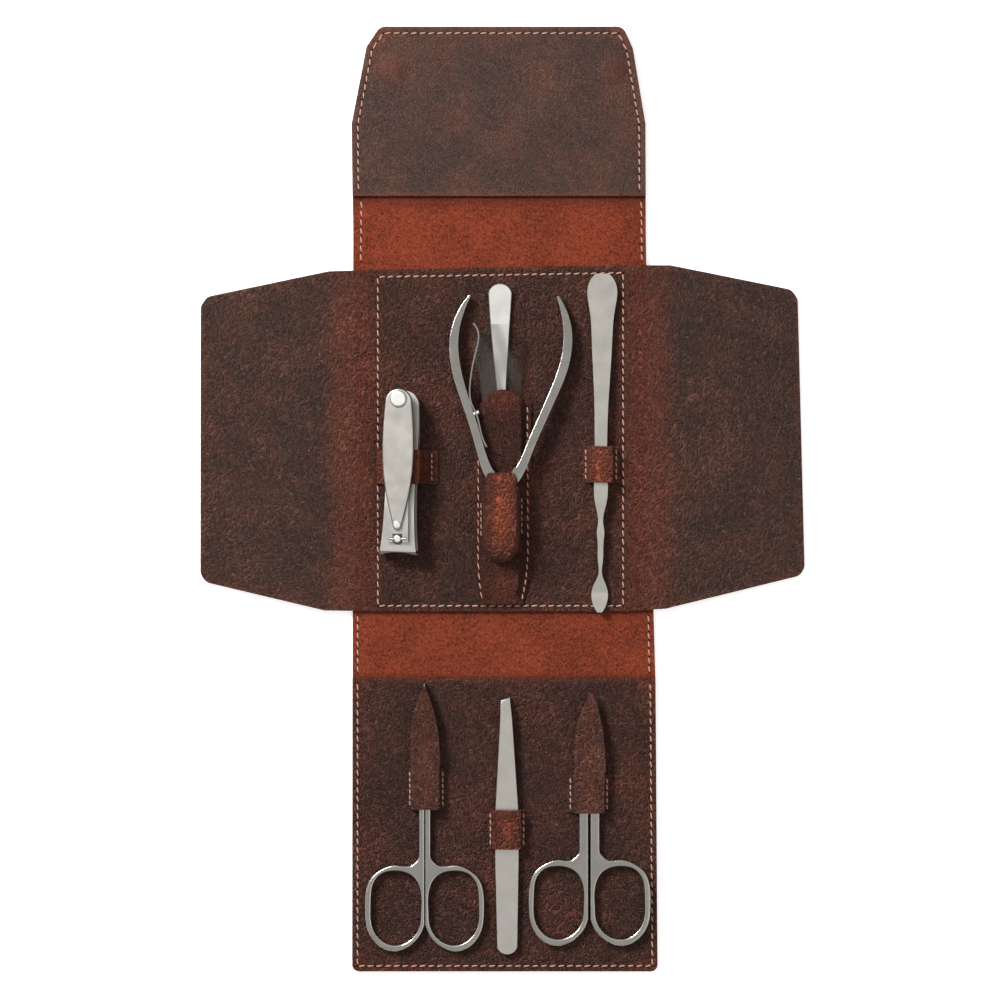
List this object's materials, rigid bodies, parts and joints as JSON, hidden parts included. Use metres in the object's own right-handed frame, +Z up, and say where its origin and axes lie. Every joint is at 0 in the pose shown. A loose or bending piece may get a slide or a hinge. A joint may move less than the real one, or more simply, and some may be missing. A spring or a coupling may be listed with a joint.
{
  "type": "manicure set case",
  "caption": "Folding leather manicure case lying open, with wings, magnetic flap and loops holding clipper, nipper, file, pusher, scissors and tweezers that slide out.",
  "frame": {"origin": "on the table plane, under the middle of the centre panel", "axes": "+X to the right across the case, +Y from the lower panel towards the closing flap, +Z up out of the table towards the tools"},
  "size_m": [0.2111, 0.3298, 0.0152],
  "materials": {
    "cover": "dark brown waxed pull-up leather, smooth outside",
    "suede": "rust-brown suede lining",
    "leather": "grained dark brown leather with rubbed reddish places",
    "strap_leather": "rubbed red-brown grained leather",
    "clear_plastic": "clear soft film",
    "steel": "satin blasted stainless steel",
    "bright_steel": "polished stainless steel",
    "magnet": "nickel-plated magnet and zinc-plated catch plates"
  },
  "bodies": {
    "centre": {"cover_centre": "cover", "lining_centre": "suede", "centre_leather": "leather", "clipper_strap": "strap_leather", "pusher_strap": "strap_leather", "file_pocket": "leather", "file_sleeve": "clear_plastic", "nipper_cover": "strap_leather"},
    "left_gusset": {"left_gusset": "leather"},
    "left_wing": {"left_wing": "leather"},
    "right_gusset": {"right_gusset": "leather"},
    "right_wing": {"right_wing": "leather"},
    "lower_spine": {"lower_spine_cover": "cover", "lower_spine_lining": "suede"},
    "lower_panel": {"lower_cover": "cover", "lower_lining": "suede", "lower_leather": "leather", "catch_plates": "magnet", "left_sheath": "strap_leather", "right_sheath": "strap_leather", "tweezer_strap": "strap_leather"},
    "upper_spine": {"upper_spine_cover": "cover", "upper_spine_lining": "suede"},
    "flap": {"flap_cover": "cover", "flap_lining": "suede", "flap_leather": "leather", "flap_magnets": "magnet"},
    "clipper": {"clipper_lower_jaw": "steel", "clipper_tail_rivet": "steel"},
    "clipper_upper_jaw": {"clipper_upper_jaw": "steel"},
    "clipper_pin": {"clipper_pin": "steel"},
    "clipper_lever": {"lever_under_plate": "steel", "lever_thumb_plate": "steel", "lever_rivets": "bright_steel"},
    "file": {"nail_file": "steel"},
    "pusher": {"cuticle_pusher": "steel"},
    "nipper_pivot": {"nipper_screw": "bright_steel"},
    "nipper_left": {"nipper_left_half": "steel", "nipper_spring": "bright_steel", "nipper_spring_screw": "bright_steel"},
    "nipper_right": {"nipper_right_half": "steel"},
    "left_scissors_pivot": {"left_scissors_screw": "bright_steel"},
    "left_scissors_lower": {"left_scissors_lower_half": "steel"},
    "left_scissors_upper": {"left_scissors_upper_half": "steel"},
    "right_scissors_pivot": {"right_scissors_screw": "bright_steel"},
    "right_scissors_lower": {"right_scissors_lower_half": "steel"},
    "right_scissors_upper": {"right_scissors_upper_half": "steel"},
    "tweezers": {"tweezers_lower_arm": "steel"},
    "tweezers_upper_arm": {"tweezers_upper_arm": "steel"}
  },
  "joints": [
    {"name": "left_gusset_fold", "type": "hinge", "parent": "centre", "child": "left_gusset", "pos_m": [-0.0435, 0, 0.003], "axis": [0, 1, 0], "range_deg": [0, 90]},
    {"name": "left_wing_fold", "type": "hinge", "parent": "left_gusset", "child": "left_wing", "pos_m": [-0.058, 0, 0.003], "axis": [0, 1, 0], "range_deg": [0, 94.8]},
    {"name": "right_gusset_fold", "type": "hinge", "parent": "centre", "child": "right_gusset", "pos_m": [0.0435, 0, 0.003], "axis": [0, -1, 0], "range_deg": [0, 90]},
    {"name": "right_wing_fold", "type": "hinge", "parent": "right_gusset", "child": "right_wing", "pos_m": [0.058, 0, 0.003], "axis": [0, -1, 0], "range_deg": [0, 92.3]},
    {"name": "lower_spine_fold", "type": "hinge", "parent": "centre", "child": "lower_spine", "pos_m": [0, -0.0596, 0.003], "axis": [-1, 0, 0], "range_deg": [0, 90]},
    {"name": "lower_panel_fold", "type": "hinge", "parent": "lower_spine", "child": "lower_panel", "pos_m": [0, -0.0826, 0.003], "axis": [-1, 0, 0], "range_deg": [0, 91.8]},
    {"name": "upper_spine_fold", "type": "hinge", "parent": "centre", "child": "upper_spine", "pos_m": [0, 0.0614, 0.003], "axis": [1, 0, 0], "range_deg": [0, 90]},
    {"name": "flap_fold", "type": "hinge", "parent": "upper_spine", "child": "flap", "pos_m": [0, 0.0854, 0.003], "axis": [1, 0, 0], "range_deg": [0, 89]},
    {"name": "clipper_slide", "type": "slide", "parent": "centre", "child": "clipper", "axis": [0.0332, 0.9995, 0], "range_m": [-0.0333, 0]},
    {"name": "clipper_jaw_flex", "type": "hinge", "parent": "clipper", "child": "clipper_upper_jaw", "pos_m": [-0.03314, 0.01448, 0.00675], "axis": [-0.992, 0.0329, -0.1219], "range_deg": [-1.4, 0], "stiffness_Nm_per_rad": 2},
    {"name": "clipper_pin_turn", "type": "hinge", "parent": "clipper", "child": "clipper_pin", "pos_m": [-0.0344, -0.0341, 0.00385], "axis": [0.1218, -0.004, -0.9925], "range_deg": [-180, 0]},
    {"name": "clipper_lever_tilt", "type": "hinge", "parent": "clipper_pin", "child": "clipper_lever", "pos_m": [-0.03545, -0.03406, 0.01244], "axis": [-0.9925, 0.0102, -0.1218], "range_deg": [-150, 0]},
    {"name": "file_slide", "type": "slide", "parent": "centre", "child": "file", "axis": [0, -1, 0], "range_m": [-0.09, 0]},
    {"name": "pusher_slide", "type": "slide", "parent": "centre", "child": "pusher", "axis": [0, -1, 0], "range_m": [-0.0585, 0]},
    {"name": "nipper_slide", "type": "slide", "parent": "centre", "child": "nipper_pivot", "axis": [0, -1, 0], "range_m": [-0.032, 0]},
    {"name": "nipper_left_squeeze", "type": "hinge", "parent": "nipper_pivot", "child": "nipper_left", "pos_m": [0.00105, -0.0179, 0.00727], "axis": [0, 0.068, 0.9977], "range_deg": [-4, 0], "stiffness_Nm_per_rad": 1},
    {"name": "nipper_right_squeeze", "type": "hinge", "parent": "nipper_pivot", "child": "nipper_right", "pos_m": [0.00105, -0.0179, 0.00727], "axis": [0, 0.068, 0.9977], "range_deg": [0, 4]},
    {"name": "left_scissors_slide", "type": "slide", "parent": "lower_panel", "child": "left_scissors_pivot", "axis": [0, 1, 0], "range_m": [-0.0445, 0]},
    {"name": "left_scissors_open", "type": "hinge", "parent": "left_scissors_pivot", "child": "left_scissors_lower", "pos_m": [-0.0262, -0.1187, 0.00325], "axis": [0, 0, 1], "range_deg": [-4, 0]},
    {"name": "left_scissors_open_other", "type": "hinge", "parent": "left_scissors_pivot", "child": "left_scissors_upper", "pos_m": [-0.0262, -0.1187, 0.00325], "axis": [0, 0, 1], "range_deg": [0, 4]},
    {"name": "right_scissors_slide", "type": "slide", "parent": "lower_panel", "child": "right_scissors_pivot", "axis": [0, 1, 0], "range_m": [-0.042, 0]},
    {"name": "right_scissors_open", "type": "hinge", "parent": "right_scissors_pivot", "child": "right_scissors_lower", "pos_m": [0.0311, -0.1195, 0.00325], "axis": [0, 0, 1], "range_deg": [-3, 0]},
    {"name": "right_scissors_open_other", "type": "hinge", "parent": "right_scissors_pivot", "child": "right_scissors_upper", "pos_m": [0.0311, -0.1195, 0.00325], "axis": [0, 0, 1], "range_deg": [0, 3]},
    {"name": "tweezers_slide", "type": "slide", "parent": "lower_panel", "child": "tweezers", "axis": [0, 1, 0], "range_m": [-0.0535, 0]},
    {"name": "tweezers_squeeze", "type": "hinge", "parent": "tweezers", "child": "tweezers_upper_arm", "pos_m": [0.0025, -0.176, 0.00431], "axis": [1, 0, 0], "range_deg": [-0.75, 0], "stiffness_Nm_per_rad": 1}
  ],
  "couplings": [
    {"joint": "nipper_right_squeeze", "follows": "nipper_left_squeeze", "ratio": -1},
    {"joint": "left_scissors_open_other", "follows": "left_scissors_open", "ratio": -1},
    {"joint": "right_scissors_open_other", "follows": "right_scissors_open", "ratio": -1}
  ]
}
